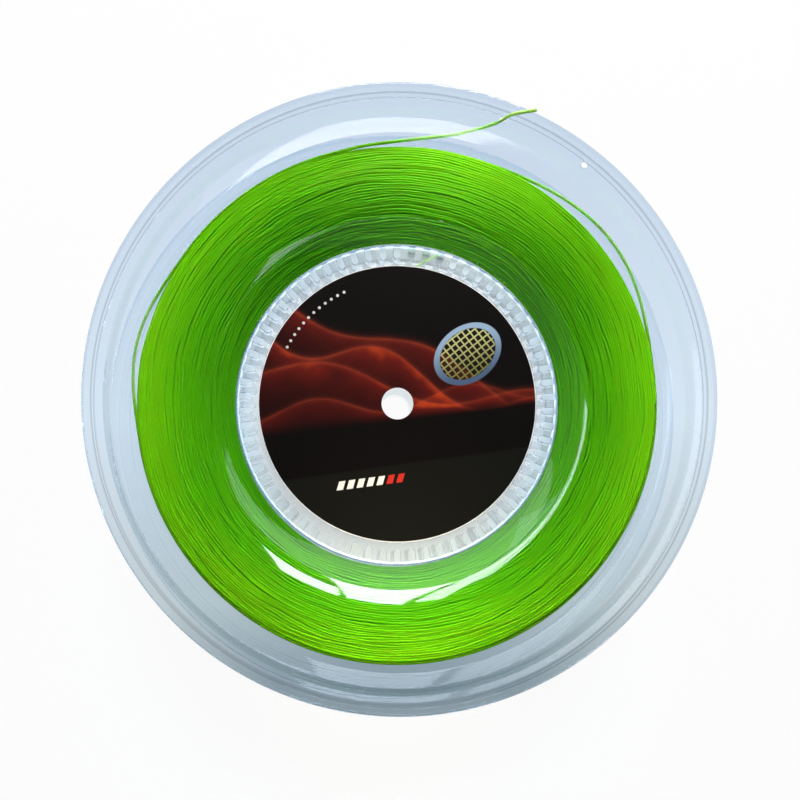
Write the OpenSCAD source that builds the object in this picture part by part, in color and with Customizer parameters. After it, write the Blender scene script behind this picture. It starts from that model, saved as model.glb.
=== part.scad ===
// String reel: two clear dished flanges on a castellated drum, with a wound
// string, its two ends, a spindle bush and a paper label. Millimetres.
// The axis is Z. The rear rim stands on z = 0 and the label faces +Z.

/* [Reel] */
// Outer diameter of both flanges
reel_d = 270; // [260:1:300]
// Width over both rims
reel_w = 46; // [44:1:56]
// Wall thickness of the clear mouldings
wall = 1.8; // [1.4:0.1:2.4]

/* [Rim] */
// Radial width of the raised lip
lip_w = 4; // [3:0.5:6]
// Thickness of the lip along the axis
lip_t = 5; // [4:0.5:7]
// How far the band lies below the lip
lip_step = 1.5; // [0.5:0.1:2]
// Radial width of the band between lip and riser
band_w = 5.8; // [5.6:0.1:8]
// How far the band falls towards the riser
band_fall = 0.5; // [0:0.1:1]
// Height of the riser between band and web
riser_h = 5.5; // [4:0.5:6.5]
// Radial run of the riser
riser_run = 1; // [0.5:0.1:2]
// Radius of the lip's outer edges
lip_round = 1.2; // [0.6:0.1:1.4]

/* [Web] */
// Radius where the web turns down to the hub ring
root_r = 81; // [78:0.1:84]
// How far the web falls from riser to root
web_fall = 3; // [1:0.1:4]
// Radial width of the cove, where the web steepens below the riser
cove_w = 6.2; // [4:0.1:8]
// How far the cove falls
cove_fall = 1.2; // [0.6:0.1:1.6]
// How far the root falls to the hub ring
root_fall = 2.5; // [1:0.1:3.5]
// Diameter of the holes that clip the loose end
string_hole_d = 3.2; // [3:0.1:4]
// Angle between the two string holes
string_hole_pitch = 18; // [12:1:30]

/* [Hub] */
// Radius of the drum that the string is wound on
drum_r = 71.5; // [68:0.1:73]
// Wall of the drum
drum_wall = 1.7; // [1.2:0.1:2]
// Thickness of the pocketed hub ring
ring_t = 2.6; // [2:0.1:3]
// Number of pockets round each hub ring
pocket_count = 66; // [36:1:72]
// Width of a pocket
pocket_w = 3; // [2:0.1:3.4]
// Radial length of a pocket
pocket_len = 5.6; // [4:0.1:6]
// How deep a drum tongue reaches into its pocket
tongue_reach = 1.6; // [0.8:0.1:1.8]
// How far a tongue runs down the drum wall
tongue_root = 3; // [2:0.5:4]
// Gap round a tongue in its pocket
tongue_gap = 0.1; // [0.05:0.05:0.2]
// Radius of the spindle hole
bore_r = 7; // [6:0.1:9]
// Wall of the spindle bush inside the floors
bush_wall = 1.6; // [1.2:0.1:2.5]
// How far the bush's collar stands out between the floors
bush_collar = 2; // [1:0.5:4]
// Gap between the bush and a floor
bush_gap = 0.1; // [0.05:0.05:0.2]

/* [Label] */
// Radius of the paper label
label_r = 61.2; // [50:0.1:61.5]
// Thickness of the paper label
label_t = 0.2; // [0.1:0.05:0.3]
// Depth of the seat that holds the label
label_recess = 0.3; // [0.3:0.05:0.5]
// Gap round the label in its seat
label_gap = 0.2; // [0.1:0.05:0.4]

/* [String] */
// Diameter of the string
string_d = 1.35; // [1.1:0.01:1.4]
// Outer radius of the wound string
wound_r = 115; // [104:0.5:116]
// Distance between turns of the outer layer
turn_pitch = 1.85; // [1.82:0.01:1.9]
// Turns in the outer layer
outer_turns = 10; // [4:1:10]
// Gap between the wound string and the drum
wound_gap = 0.3; // [0.2:0.05:0.5]
// How far inside the outer edge the wound faces stand highest
crown_depth = 11; // [8:0.5:16]
// Gap between the webs and the wound faces there
crown_gap = 0.7; // [0.3:0.1:1]
// How far a wound face falls towards the drum
crown_in_fall = 6.5; // [1:0.5:7]
// How far a wound face falls towards its outer edge
crown_out_fall = 0.7; // [0.5:0.1:2]
// Angle where the outer layer ends, clockwise from +Y
layer_end = 5; // [0:1:10]
// Angle that the slack turn goes round
slack_sweep = 340; // [320:5:340]
// Height of the long slack arc off the winding
long_arc_h = 5.6; // [0:0.1:6]
// Height of the short slack arc off the winding
short_arc_h = 3.3; // [0:0.1:5]

/* [Hidden] */
$fn = 96;
eps = 0.02;

// Heights over the middle plane of the reel, and radii, of one flange
mid_z = reel_w / 2;
reel_r = reel_d / 2;
lip_in_r = reel_r - lip_w;
riser_top_r = lip_in_r - band_w;
riser_foot_r = riser_top_r - riser_run;
band_z = mid_z - lip_step;
riser_top_z = band_z - band_fall;
riser_foot_z = riser_top_z - riser_h;
cove_r = riser_foot_r - cove_w;
cove_z = riser_foot_z - cove_fall;
root_z = riser_foot_z - web_fall;
ring_z = root_z - root_fall;
seat_z = ring_z - label_recess;
ring_back_z = ring_z - ring_t;
floor_back_z = seat_z - wall;
riser_back = wall * 0.9;
lip_back_z = mid_z - lip_t;
lip_foot = 1.2;
seat_r = label_r + label_gap;
bush_r = bore_r + bush_wall;
bush_hole_r = bush_r + bush_gap;

// Pockets and tongues
pocket_out_r = drum_r - drum_wall;
pocket_in_r = pocket_out_r - pocket_len;
pocket_step = 360 / pocket_count;
tongue_w = pocket_w - 2 * tongue_gap;
tongue_top_z = ring_back_z + tongue_reach;
tongue_low_z = ring_back_z - tongue_root;

// Holes through the band for the loose end
string_hole_r = riser_top_r + riser_back / 2 + string_hole_d / 2 + 0.5;
string_hole_angle = 20.3;

// Winding
string_r = string_d / 2;
layer_r = wound_r - string_r;
rings_per_turn = 24;
chord_dip = layer_r * (1 - cos(180 / rings_per_turn));
core_r = layer_r - chord_dip - string_r - 0.1;
core_in_r = drum_r + wound_gap;
layer_low_z = mid_z - turn_pitch * (outer_turns + 1) / 2;
crown_r = wound_r - crown_depth;
crown_steps = 4;
tube_sides = 6;
cord_sides = 8;
slack_rings = 60;
long_arc = [14, 83];
short_arc = [261, 305];
long_arc_skew = 1.18;

// Route of the loose end: off the winding, under the web, up through the
// first string hole and over the lip to its cut tip
free_route = [[-14, 113.9, 33.9], [1.5, 115.9, 34.1], [13.5, 117.1, 34.5],
              [25.2, 118.4, 34.9], [31, 119.6, 35.3], [36.5, 120.8, 35.7],
              [40.2, 121.3, 37.3], [42.6, 120.9, 39.6], [43.8, 120.4, 41.6],
              [44.6, 120.2, 43.3], [45.8, 120.3, 45], [48, 120.6, 46.5],
              [51, 121, 47], [54.5, 121.5, 47.2], [57.8, 122, 47.2]];
// Route of the inner end: out of the first turns, through the drum wall and
// across the hollow hub behind the ring
start_route = [[22.4, 69.8, 27.9], [17.2, 67, 27.9], [13.4, 64.9, 27.9],
               [9.5, 62.8, 27.9], [5, 60.6, 27.6], [0, 58.6, 26.9],
               [-5.2, 57, 26.1], [-10.6, 56, 25.6]];
start_hole_r = string_r + 0.45;
start_drill_over = 6;
// Tongues are left out where the inner end passes
start_gap = [2, 21];

// Point at an angle clockwise from +Y
function at(angle, r, z) = [r * sin(angle), r * cos(angle), z];
function unit(v) = v / norm(v);
function arc(centre, r, a0, a1, steps) =
    [for (i = [0:steps]) let (a = a0 + (a1 - a0) * i / steps) centre + r * [cos(a), sin(a)]];

// A tube swept along a path, as triangles; across is never along the path
function tube_axes(path, across) = [for (i = [0:len(path) - 1])
    let (t = unit(path[min(i + 1, len(path) - 1)] - path[max(i - 1, 0)]),
         u = unit(cross(t, across)))
    [u, cross(t, u)]];
function tube_points(path, r, sides, across) = let (axes = tube_axes(path, across))
    [for (i = [0:len(path) - 1], k = [0:sides - 1])
        path[i] + r * (cos(360 * k / sides) * axes[i][0] + sin(360 * k / sides) * axes[i][1])];
function tube_faces(rings, sides) = concat(
    [for (k = [1:sides - 2]) [0, k + 1, k]],
    [for (k = [1:sides - 2]) let (e = (rings - 1) * sides) [e, e + k, e + k + 1]],
    [for (i = [0:rings - 2], k = [0:sides - 1]) let (a = i * sides, n = (k + 1) % sides)
        [a + k, a + n, a + sides + n]],
    [for (i = [0:rings - 2], k = [0:sides - 1]) let (a = i * sides, n = (k + 1) % sides)
        [a + k, a + sides + n, a + sides + k]]);
module tube(path, r, sides, across) {
    polyhedron(points = tube_points(path, r, sides, across),
               faces = tube_faces(len(path), sides));
}

// Outline of a flange: radius and height over the middle plane
function flange_outline() = concat(
    [[bush_hole_r, floor_back_z], [bush_hole_r, seat_z], [seat_r, seat_z], [seat_r, ring_z],
     [drum_r, ring_z], [root_r, root_z], [cove_r, cove_z], [riser_foot_r, riser_foot_z],
     [riser_top_r, riser_top_z], [lip_in_r, band_z], [lip_in_r + lip_step / 3, mid_z]],
    arc([reel_r - lip_round, mid_z - lip_round], lip_round, 90, 0, 5),
    arc([reel_r - lip_round, lip_back_z + lip_round], lip_round, 0, -90, 5),
    [[lip_in_r, lip_back_z], [lip_in_r - lip_foot, band_z - wall],
     [riser_top_r + riser_back, riser_top_z - wall],
     [riser_foot_r + riser_back, riser_foot_z - wall], [cove_r, cove_z - wall],
     [root_r, root_z - wall],
     [drum_r, ring_back_z], [pocket_in_r - 1, ring_back_z], [pocket_in_r - 2, floor_back_z]]);

// One rounded slot of the hub ring, flat at its outer end
module slot(in_r, out_r, w) {
    translate([in_r + w / 2, -w / 2]) square([out_r - in_r - w / 2, w]);
    translate([in_r + w / 2, 0]) circle(d = w, $fn = 24);
}
module ring_of_slots(in_r, out_r, w, left_out) {
    for (i = [0:pocket_count - 1]) let (a = i * pocket_step)
        if (a < left_out[0] || a > left_out[1])
            rotate(90 - a) slot(in_r, out_r, w);
}

module flange() {
    difference() {
        rotate_extrude($fn = 180) polygon(flange_outline());
        translate([0, 0, ring_back_z - eps]) linear_extrude(ring_t + 2 * eps)
            ring_of_slots(pocket_in_r, pocket_out_r, pocket_w, [-1, -1]);
        for (k = [0, 1])
            translate(at(string_hole_angle + k * string_hole_pitch, string_hole_r, riser_foot_z))
                cylinder(d = string_hole_d, h = riser_h + wall + lip_step, $fn = 32);
    }
}

module front_flange() {
    color([0.84, 0.91, 0.96, 0.35]) translate([0, 0, mid_z]) flange();
}

module rear_flange() {
    color([0.8, 0.88, 0.94, 0.35]) translate([0, 0, mid_z]) mirror([0, 0, 1]) flange();
}

// Tongues at one end of the drum: rooted on the wall, free in the pocket
module tongues(left_out) {
    translate([0, 0, tongue_low_z]) linear_extrude(tongue_root)
        ring_of_slots(pocket_in_r + tongue_gap, pocket_out_r + drum_wall / 2, tongue_w, left_out);
    translate([0, 0, ring_back_z]) linear_extrude(tongue_reach)
        ring_of_slots(pocket_in_r + tongue_gap, pocket_out_r - tongue_gap, tongue_w, left_out);
}

module hub_drum() {
    color([0.88, 0.94, 0.97, 0.45]) difference() {
        translate([0, 0, mid_z]) union() {
            difference() {
                cylinder(r = drum_r, h = 2 * ring_back_z, center = true, $fn = 180);
                cylinder(r = pocket_out_r, h = 2 * ring_back_z + 1, center = true, $fn = 180);
            }
            tongues(start_gap);
            mirror([0, 0, 1]) tongues([-1, -1]);
        }
        drill_along(start_route[0], start_route[2], start_hole_r, start_drill_over);
    }
}

// A round drill through two points at one height, which runs past both
module drill_along(from, to, r, over) {
    way = to - from;
    turn = atan2(way.y, way.x);
    translate(from) rotate([0, 0, turn]) translate([-over, 0, 0]) rotate([0, 90, 0])
        cylinder(r = r, h = norm(way) + 2 * over, $fn = 32);
}

module spindle_bush() {
    collar_z = floor_back_z - bush_gap;
    color([0.86, 0.92, 0.96, 0.5]) translate([0, 0, mid_z]) difference() {
        union() {
            cylinder(r = bush_r, h = 2 * seat_z, center = true);
            cylinder(r = bush_r + bush_collar, h = 2 * collar_z, center = true);
        }
        cylinder(r = bore_r, h = 2 * seat_z + 1, center = true);
    }
}

module front_label() {
    color([0.08, 0.06, 0.06]) translate([0, 0, mid_z + seat_z]) difference() {
        cylinder(r = label_r, h = label_t, $fn = 180);
        translate([0, 0, -eps]) cylinder(r = bore_r, h = label_t + 2 * eps);
    }
}

// Inner face of the front web at a radius outside the root, over the middle plane
function web_back_z(r) = root_z - wall + (cove_z - root_z) * (r - root_r) / (cove_r - root_r);

// Wound face over the middle plane at a radius: it falls by a parabola from
// the crown towards the drum and towards the outer edge
crown_z = web_back_z(crown_r) - crown_gap;
function wound_z(r) = r < crown_r
    ? crown_z - crown_in_fall * pow((crown_r - r) / (crown_r - core_in_r), 2)
    : crown_z - crown_out_fall * pow((r - crown_r) / (layer_r - crown_r), 2);

// The turns under the outer layer, as one ring with crowned faces
module string_winding() {
    in_w = (crown_r - core_in_r) / crown_steps;
    out_w = (core_r - crown_r) / (crown_steps / 2);
    radii = concat([for (i = [0:crown_steps - 1]) core_in_r + i * in_w],
                   [for (i = [0:crown_steps / 2]) crown_r + i * out_w]);
    front = [for (r = radii) [r, wound_z(r)]];
    rear = [for (i = [len(radii) - 1:-1:0]) [radii[i], -front[i].y]];
    color([0.42, 0.74, 0.1]) translate([0, 0, mid_z])
        rotate_extrude($fn = 180) polygon(concat(front, rear));
}

// Helix of the outer layer, which ends at layer_end, with one straight
// string diameter at each end
layer_first = layer_end - 360 * outer_turns;
function layer_z(angle) = layer_low_z + turn_pitch * (angle - layer_first) / 360;
function layer_at(angle, lift) = at(angle, layer_r + lift, layer_z(angle));
function layer_way(angle) = unit(layer_at(angle + 1, 0) - layer_at(angle - 1, 0));
layer_arc = [for (i = [0:rings_per_turn * outer_turns])
    layer_at(layer_first + i * 360 / rings_per_turn, 0)];
layer_tip = layer_at(layer_end, 0) + string_d * layer_way(layer_end);
layer_path = concat([layer_arc[0] - string_d * layer_way(layer_first)], layer_arc, [layer_tip]);

// Least gap between neighbouring turns, measured on the path's points
turn_gaps = [for (i = [1:len(layer_path) - rings_per_turn - 2])
    norm(layer_path[i + rings_per_turn] - layer_path[i]) - string_d];
echo(least_gap_between_turns = min(turn_gaps));

module string_outer_layer() {
    color([0.5, 0.85, 0.12]) tube(layer_path, string_r, tube_sides, [0, 0, 1]);
}

// Slack turn: the next turn, which stands off the winding in two arcs
function bump(angle, span, h, skew) = angle <= span[0] || angle >= span[1] ? 0
    : h * pow(sin(180 * pow((angle - span[0]) / (span[1] - span[0]), skew)), 2);
slack_start = layer_end + 1;
slack_end = layer_end + slack_sweep;
slack_arc = [for (i = [1:slack_rings]) let (a = slack_start + (slack_end - slack_start) * i / slack_rings)
    layer_at(a, bump(a, long_arc, long_arc_h, long_arc_skew) + bump(a, short_arc, short_arc_h, 1))];
slack_tip = layer_at(slack_end, 0) + string_d * layer_way(slack_end);
slack_path = concat([layer_tip, layer_tip + string_d * layer_way(layer_end)], slack_arc, [slack_tip]);

module string_slack_turn() {
    color([0.62, 0.9, 0.2]) tube(slack_path, string_r, tube_sides, [0, 0, 1]);
}

free_path = concat([slack_tip, slack_tip + string_d * layer_way(slack_end)], free_route);

module string_free_end() {
    color([0.55, 0.9, 0.15]) tube(free_path, string_r, cord_sides, [0, 1, 0]);
}

module string_start_end() {
    color([0.6, 0.85, 0.3]) tube(start_route, string_r, cord_sides, [0, 0, 1]);
}

front_flange();
rear_flange();
hub_drum();
spindle_bush();
front_label();
string_winding();
string_outer_layer();
string_slack_turn();
string_free_end();
string_start_end();
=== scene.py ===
"""String reel: clear flanges, drum, label and wound string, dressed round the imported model."""

import math

import bmesh
import bpy
from mathutils import Matrix, Vector


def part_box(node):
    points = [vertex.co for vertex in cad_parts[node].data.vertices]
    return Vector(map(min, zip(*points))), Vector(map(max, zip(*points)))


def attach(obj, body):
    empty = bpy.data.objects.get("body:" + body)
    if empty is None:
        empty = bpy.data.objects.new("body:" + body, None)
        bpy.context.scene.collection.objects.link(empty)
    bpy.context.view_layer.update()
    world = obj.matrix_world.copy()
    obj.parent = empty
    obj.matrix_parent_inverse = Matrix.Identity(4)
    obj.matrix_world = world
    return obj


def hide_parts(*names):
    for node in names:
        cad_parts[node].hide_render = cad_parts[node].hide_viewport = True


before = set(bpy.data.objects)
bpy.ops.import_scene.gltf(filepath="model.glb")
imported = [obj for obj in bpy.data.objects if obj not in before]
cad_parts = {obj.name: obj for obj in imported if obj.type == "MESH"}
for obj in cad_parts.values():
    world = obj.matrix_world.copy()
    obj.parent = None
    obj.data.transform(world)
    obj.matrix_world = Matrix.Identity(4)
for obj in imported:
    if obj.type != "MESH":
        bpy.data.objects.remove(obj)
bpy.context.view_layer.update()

MM = 0.001

# ---------------------------------------------------------------- sizes, in metres
REEL_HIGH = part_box("front_flange")[1]
REEL_R = REEL_HIGH.x
REEL_W = REEL_HIGH.z
MID_Z = REEL_W / 2
LABEL_LOW, LABEL_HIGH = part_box("front_label")
LABEL_R = LABEL_HIGH.x
DRUM_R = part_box("hub_drum")[1].x
WALL = 1.8 * MM

# Flange: radii, and heights over the reel's middle plane
LIP_IN_R = REEL_R - 4 * MM
LIP_SLOPE = 0.5 * MM
LIP_ROUND = 1.2 * MM
LIP_FOOT = 1.2 * MM
LIP_BACK_Z = MID_Z - 5 * MM
RISER_TOP_R = LIP_IN_R - 5.8 * MM
RISER_FOOT_R = RISER_TOP_R - 1 * MM
RISER_BACK = WALL * 0.9
COVE_R = RISER_FOOT_R - 6.2 * MM
ROOT_R = 81 * MM
BAND_Z = MID_Z - 1.5 * MM
RISER_TOP_Z = BAND_Z - 0.5 * MM
RISER_FOOT_Z = RISER_TOP_Z - 5.5 * MM
COVE_Z = RISER_FOOT_Z - 1.2 * MM
ROOT_Z = RISER_FOOT_Z - 3 * MM
RING_Z = ROOT_Z - 2.5 * MM
RING_T = 2.6 * MM
RING_BACK_Z = RING_Z - RING_T
RING_FOOT = 1 * MM
SEAT_Z = LABEL_LOW.z - MID_Z
SEAT_R = LABEL_R + 0.2 * MM
FLOOR_BACK_Z = SEAT_Z - WALL
STRING_HOLE_R = 1.6 * MM
STRING_HOLE_AT = RISER_TOP_R + RISER_BACK / 2 + STRING_HOLE_R + 0.5 * MM
STRING_HOLE_ANGLES = (20.3, 38.3)

# The web's soft bend at its root, in millimetres: radius, and height over the root
WEB_SWEEP = ((82, -0.26), (84, -0.05), (88, 0.3), (95, 0.75))

# Hub: pockets, tongues and bush
POCKET_COUNT = 66
POCKET_W = 3 * MM
POCKET_OUT_R = DRUM_R - 1.7 * MM
POCKET_IN_R = POCKET_OUT_R - 5.6 * MM
TONGUE_GAP = 0.1 * MM
TONGUE_REACH = 1.6 * MM
TONGUE_ROOT = 3 * MM
TONGUE_LAP = 0.2 * MM
TONGUE_INTO_WALL = 0.5 * MM
START_GAP = (2, 21)
NO_GAP = (-1, -1)
BORE_R = 7 * MM
BUSH_R = BORE_R + 1.6 * MM
BUSH_COLLAR = 2 * MM
BUSH_GAP = 0.1 * MM

# Edges and cutters
FLANGE_EDGE = 0.35 * MM
BUSH_EDGE = 0.2 * MM
LABEL_EDGE = 0.05 * MM
CRISP_ANGLE = 32
CUT_PAST = 1 * MM

# String: its turns, and the two arcs of slack (from, to, rise, skew)
STRING_D = 1.35 * MM
STRING_R = STRING_D / 2
WOUND_R = 115 * MM
LAYER_R = WOUND_R - STRING_R
TURN_PITCH = 1.85 * MM
OUTER_TURNS = 10
LAYER_LOW_Z = MID_Z - TURN_PITCH * (OUTER_TURNS + 1) / 2
LAYER_END = 5
LAYER_FIRST = LAYER_END - 360 * OUTER_TURNS
SLACK_SWEEP = 340
SLACK_STEPS = 240
LONG_ARC = (14, 83, 5.6 * MM, 1.18)
SHORT_ARC = (261, 305, 3.3 * MM, 1)

# Faces of the winding, crowned under the webs
FACE_IN_R = DRUM_R + STRING_R + 0.3 * MM
FACE_OUT_R = LAYER_R - 0.7 * MM
CROWN_R = WOUND_R - 11 * MM
WEB_SLOPE = (COVE_Z - ROOT_Z) / (COVE_R - ROOT_R)
WEB_BACK_Z = ROOT_Z - WALL + WEB_SLOPE * (CROWN_R - ROOT_R)
CROWN_Z = WEB_BACK_Z - 0.7 * MM - STRING_R
INNER_DROP = 6.5 * MM
OUTER_DROP = 0.7 * MM
CORE_SUNK = 2 * MM

# Routes of the two ends, in millimetres
FREE_ROUTE = [(-14, 113.9, 33.9), (1.5, 115.9, 34.1), (13.5, 117.1, 34.5),
              (25.2, 118.4, 34.9), (31, 119.6, 35.3), (36.5, 120.8, 35.7),
              (40.2, 121.3, 37.3), (42.6, 120.9, 39.6), (43.8, 120.4, 41.6),
              (44.6, 120.2, 43.3), (45.8, 120.3, 45), (48, 120.6, 46.5),
              (51, 121, 47), (54.5, 121.5, 47.2), (57.8, 122, 47.2)]
START_HOLE_R = STRING_R + 0.45 * MM
START_DRILL_PAST = 12 * MM
START_ROUTE = [(22.4, 69.8, 27.9), (17.2, 67, 27.9), (13.4, 64.9, 27.9),
               (9.5, 62.8, 27.9), (5, 60.6, 27.6), (0, 58.6, 26.9),
               (-5.2, 57, 26.1), (-10.6, 56, 25.6)]


# ---------------------------------------------------------------- camera
IMAGE_W = 800
RIM_CENTRE_PX = (400.3, 397.1)
RIM_RADIUS_PX = 319.2
CAMERA_HEIGHT = 320 * MM
SIGHT_LEAN = math.radians(13.3)
LENS_LEAN = math.radians(1)
LEAN_WAY = Vector((-0.41, -0.91, 0)).normalized()
SENSOR_W = 36.0


def set_camera():
    """Looks down on the label from below and left of the axis; a lens shift centres the rim."""
    rim = Vector((0, 0, REEL_W))
    place = rim + CAMERA_HEIGHT * (LEAN_WAY * math.tan(SIGHT_LEAN) + Vector((0, 0, 1)))
    ahead = -LEAN_WAY * math.sin(LENS_LEAN) - Vector((0, 0, math.cos(LENS_LEAN)))
    right = ahead.cross(Vector((0, 1, 0))).normalized()
    up = right.cross(ahead)
    data = bpy.data.cameras.new("camera")
    camera = add_object("camera", data)
    camera.matrix_world = Matrix((
        (right.x, up.x, -ahead.x, place.x),
        (right.y, up.y, -ahead.y, place.y),
        (right.z, up.z, -ahead.z, place.z),
        (0, 0, 0, 1)))
    sight = rim - place
    depth = sight.dot(ahead)
    data.sensor_width = SENSOR_W
    data.lens = RIM_RADIUS_PX / IMAGE_W * SENSOR_W * depth / REEL_R
    spread = data.lens / SENSOR_W / depth
    data.shift_x = sight.dot(right) * spread - (RIM_CENTRE_PX[0] / IMAGE_W - 0.5)
    data.shift_y = sight.dot(up) * spread - (0.5 - RIM_CENTRE_PX[1] / IMAGE_W)
    data.clip_start = 0.01
    data.clip_end = 20
    bpy.context.scene.camera = camera


# ---------------------------------------------------------------- small helpers
def at(angle, r, z):
    """Point at an angle in degrees clockwise from +Y, seen from the label."""
    a = math.radians(angle)
    return Vector((r * math.sin(a), r * math.cos(a), z))


def in_metres(route):
    """The points of a route given in millimetres."""
    return [Vector(point) * MM for point in route]


def add_object(name, data):
    """Object in the scene for a mesh, curve, light or camera."""
    piece = bpy.data.objects.new(name, data)
    bpy.context.scene.collection.objects.link(piece)
    return piece


def mesh_from(name, bm):
    """Turns a bmesh into a mesh and frees it."""
    mesh = bpy.data.meshes.new(name)
    bm.to_mesh(mesh)
    bm.free()
    return mesh


def paint(piece, material):
    """Gives the whole piece one material."""
    piece.data.materials.clear()
    piece.data.materials.append(material)


def dress(piece, slot, *nodes):
    """The piece rides on the reel and stands for the CAD nodes, which it hides; slot is not used.
    """
    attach(piece, "root")
    if nodes:
        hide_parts(*nodes)
    return piece


# ---------------------------------------------------------------- node trees
class Nodes:
    """A node tree, with short calls to add and join nodes and to calculate with them."""

    def __init__(self, tree):
        self.tree = tree

    def add(self, kind, inputs=None, **settings):
        node = self.tree.nodes.new(kind)
        for key, value in settings.items():
            setattr(node, key, value)
        for key, value in (inputs or {}).items():
            self.feed(node.inputs[key], value)
        return node

    def feed(self, socket, value):
        """Joins a socket or sets a value; a colour is given as red, green and blue."""
        if isinstance(value, bpy.types.NodeSocket):
            self.tree.links.new(value, socket)
        elif socket.type == "RGBA":
            socket.default_value = (*value, 1)
        else:
            socket.default_value = value

    def math(self, operation, a, b=0.0, clamp=False):
        node = self.add("ShaderNodeMath", {0: a, 1: b}, operation=operation, use_clamp=clamp)
        return node.outputs[0]

    def plus(self, first, *others):
        for other in others:
            first = self.math("ADD", first, other)
        return first

    def times(self, first, *others):
        for other in others:
            first = self.math("MULTIPLY", first, other)
        return first

    def minus(self, a, b):
        return self.math("SUBTRACT", a, b)

    def ratio(self, a, b):
        return self.math("DIVIDE", a, b)

    def least(self, a, b):
        return self.math("MINIMUM", a, b)

    def most(self, a, b):
        return self.math("MAXIMUM", a, b)

    def size(self, value):
        return self.math("ABSOLUTE", value)

    def length(self, x, y):
        """Length of the flat vector (x, y)."""
        return self.math("SQRT", self.plus(self.times(x, x), self.times(y, y)))

    def vector(self, x, y=0.0, z=0.0):
        return self.add("ShaderNodeCombineXYZ", {0: x, 1: y, 2: z}).outputs[0]

    def split(self, place):
        return self.add("ShaderNodeSeparateXYZ", {0: place}).outputs

    def ramp(self, factor, *stops):
        """Colour that runs between (position, colour) stops."""
        node = self.add("ShaderNodeValToRGB", {"Fac": factor})
        elements = node.color_ramp.elements
        while len(elements) < len(stops):
            elements.new(0.5)
        for element, (position, colour) in zip(elements, stops):
            element.position = position
            element.color = (*colour, 1)
        return node.outputs["Color"]

    def mix_shader(self, factor, a, b):
        """Node that mixes the surfaces of two shader nodes."""
        inputs = {0: factor, 1: a.outputs[0], 2: b.outputs[0]}
        return self.add("ShaderNodeMixShader", inputs)

    def show(self, output, shader):
        """Joins a shader node to the surface of the tree's output node."""
        self.feed(self.tree.nodes[output].inputs["Surface"], shader.outputs[0])


class Shader(Nodes):
    """A material's node tree round its principled shader."""

    def __init__(self, name):
        self.material = bpy.data.materials.new(name)
        self.material.use_nodes = True
        super().__init__(self.material.node_tree)
        self.principled = self.tree.nodes["Principled BSDF"]
        texture = self.add("ShaderNodeTexCoord").outputs
        self.object_place = texture["Object"]
        self.object_normal = texture["Normal"]

    def set(self, **inputs):
        """Feeds the principled shader's inputs, written with _ for a space."""
        for key, value in inputs.items():
            self.feed(self.principled.inputs[key.replace("_", " ")], value)

    def plane_place(self):
        """Object x, y and distance from the axis, in millimetres."""
        x, y, _ = self.split(self.object_place)
        x = self.ratio(x, MM)
        y = self.ratio(y, MM)
        return x, y, self.length(x, y)

    def noise(self, scale, detail=2.0, roughness=0.5, place=None):
        place = place or self.object_place
        inputs = {"Vector": place, "Scale": scale, "Detail": detail, "Roughness": roughness}
        return self.add("ShaderNodeTexNoise", inputs).outputs["Fac"]

    def grey_ramp(self, factor, *stops):
        """Number that runs between (position, number) stops."""
        return self.ramp(factor, *[(position, (value,) * 3) for position, value in stops])

    def mix_colour(self, factor, a, b):
        inputs = {0: factor, 6: a, 7: b}
        return self.add("ShaderNodeMix", inputs, data_type="RGBA").outputs[2]

    def step(self, value, low, high):
        """0 at low and 1 at high, with a soft change between."""
        inputs = {"Value": value, "From Min": low, "From Max": high}
        node = self.add("ShaderNodeMapRange", inputs, interpolation_type="SMOOTHSTEP")
        return node.outputs[0]

    def bump(self, height, strength, distance):
        inputs = {"Height": height, "Strength": strength, "Distance": distance}
        return self.add("ShaderNodeBump", inputs).outputs["Normal"]


# ---------------------------------------------------------------- clear plastic
# Radii in materials are in millimetres; a fade is (where it starts, where it is complete)
DRUM_MM = DRUM_R / MM
WOUND_MM = WOUND_R / MM
LABEL_MM = LABEL_R / MM
RING_FADE = (DRUM_MM - 0.6, DRUM_MM - 1.2)
CREASE_FADE = (0.35, 0.1)
GLOSS_FADE = (WOUND_MM - 1, WOUND_MM + 3)
GLOSS_LOST = 0.6
EDGE_ON_FADE = (0.3, 0.75)
UPRIGHT_FADE = (0.5, 0.2)
SCATTERED = 0.6
SHADOW_TINT = (0.95, 0.97, 0.98)
PAINTED_CREASE_SHADE = (0.42, 0.48, 0.57)
RING_TINT = (0.95, 0.975, 0.99)
MILK_TINT = (0.83, 0.91, 0.99)


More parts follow.
